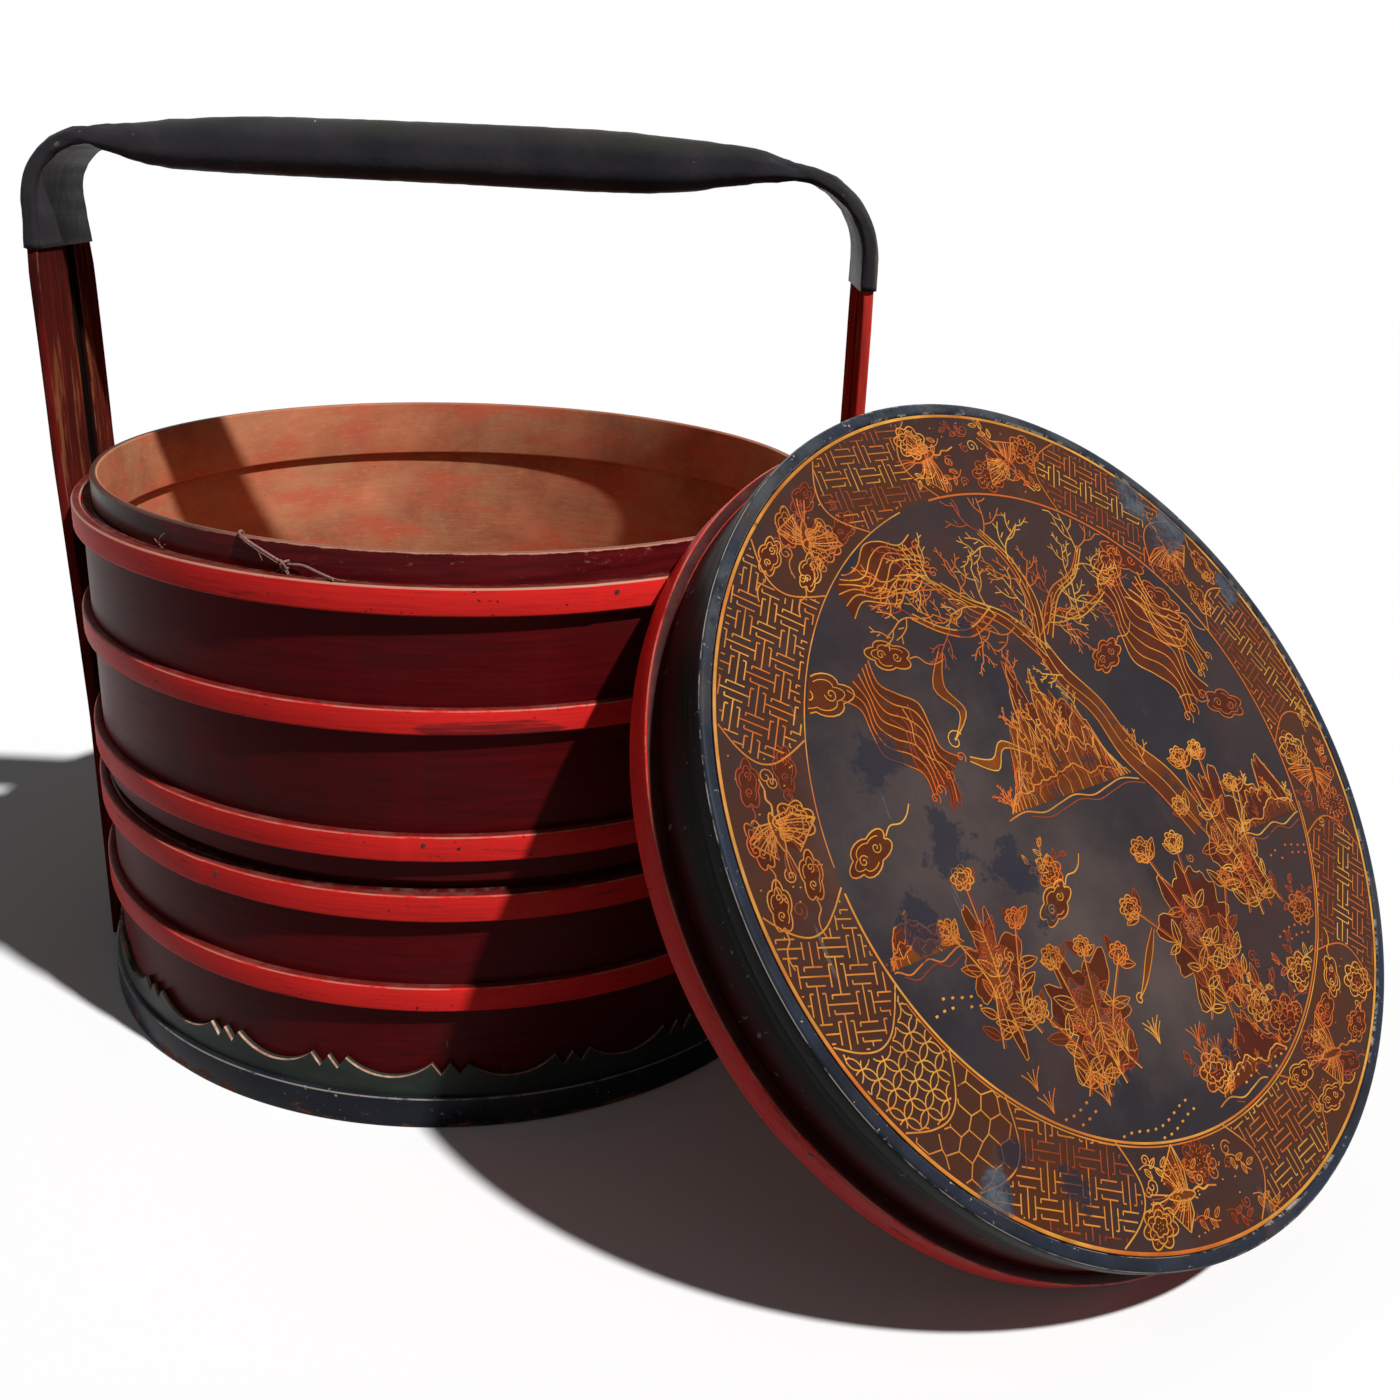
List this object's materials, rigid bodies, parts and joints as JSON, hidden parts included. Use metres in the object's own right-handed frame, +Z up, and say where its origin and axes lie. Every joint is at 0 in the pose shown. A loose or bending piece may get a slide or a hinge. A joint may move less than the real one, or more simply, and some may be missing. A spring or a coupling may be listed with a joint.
{
  "type": "lidded bamboo basket",
  "caption": "Round two-tier lacquered bamboo basket with a tall fixed bail handle, hooped tiers, scalloped foot apron and a painted lid leaning beside it.",
  "frame": {"origin": "on the basket's axis at the floor, centre of the foot band's underside", "axes": "+Z up; -Y towards the viewer of the picture; +X to the viewer's right, where the lid leans"},
  "size_m": [0.7156, 0.6271, 0.4872],
  "materials": {
    "maroon_lacquer": "glossy worn lacquer over bamboo",
    "collar_lacquer": "worn salmon and maroon lacquer",
    "red_lacquer": "bright red lacquer with worn edges",
    "foot_lacquer": "blue-black lacquer, worn at the floor",
    "apron_lacquer": "dark green-black lacquer with a worn cut edge",
    "leg_lacquer": "streaky worn brown and red lacquer",
    "groove_black": "matt black",
    "bare_wood": "plain wood",
    "sheath_black": "black lacquered skin, satin",
    "lid_lacquer": "dark green-black lacquer with maroon wear",
    "lid_bead": "slate black lacquer with worn flecks",
    "lid_painting": "dark lacquer with gold and red line painting",
    "peg_bamboo": "dark bamboo",
    "nail_iron": "rusty iron",
    "cord_fibre": "dull tan fibre"
  },
  "bodies": {
    "lower_tier": {"lower_wall": "maroon_lacquer", "lower_floor": "maroon_lacquer", "lower_floor_ledge": "maroon_lacquer", "lower_collar": "collar_lacquer", "lower_second_hoop": "red_lacquer", "lower_top_hoop": "red_lacquer", "lower_pegs": "peg_bamboo", "apron": "apron_lacquer", "foot_band": "foot_lacquer", "handle_strip_front": "leg_lacquer", "handle_strip_rear": "leg_lacquer", "handle_filler_left": "groove_black", "handle_filler_right": "groove_black", "grip_core_upper": "bare_wood", "grip_core_lower": "bare_wood", "grip_sheath": "sheath_black", "handle_nails": "nail_iron"},
    "upper_tier": {"upper_wall": "maroon_lacquer", "upper_floor": "maroon_lacquer", "upper_floor_ledge": "maroon_lacquer", "upper_collar": "collar_lacquer", "upper_bottom_hoop": "red_lacquer", "upper_middle_hoop": "red_lacquer", "upper_top_hoop": "red_lacquer", "upper_pegs": "peg_bamboo", "tie_cord": "cord_fibre"},
    "lid": {"lid_wall": "lid_lacquer", "lid_hoop": "red_lacquer", "lid_pegs": "peg_bamboo", "lid_shoulder": "lid_lacquer", "lid_edge_ring": "lid_bead", "lid_panel": "lid_painting", "lid_inner_ring": "lid_lacquer"}
  },
  "joints": [
    {"name": "upper_tier_lift", "type": "slide", "parent": "lower_tier", "child": "upper_tier", "axis": [0, 0, 1], "range_m": [0, 0.15]},
    {"name": "lid_tip", "type": "hinge", "parent": "upper_tier", "child": "lid", "pos_m": [0.33769, -0.33741, 0.0002], "axis": [0.8689, 0.495, 0], "range_deg": [0, 40]}
  ]
}
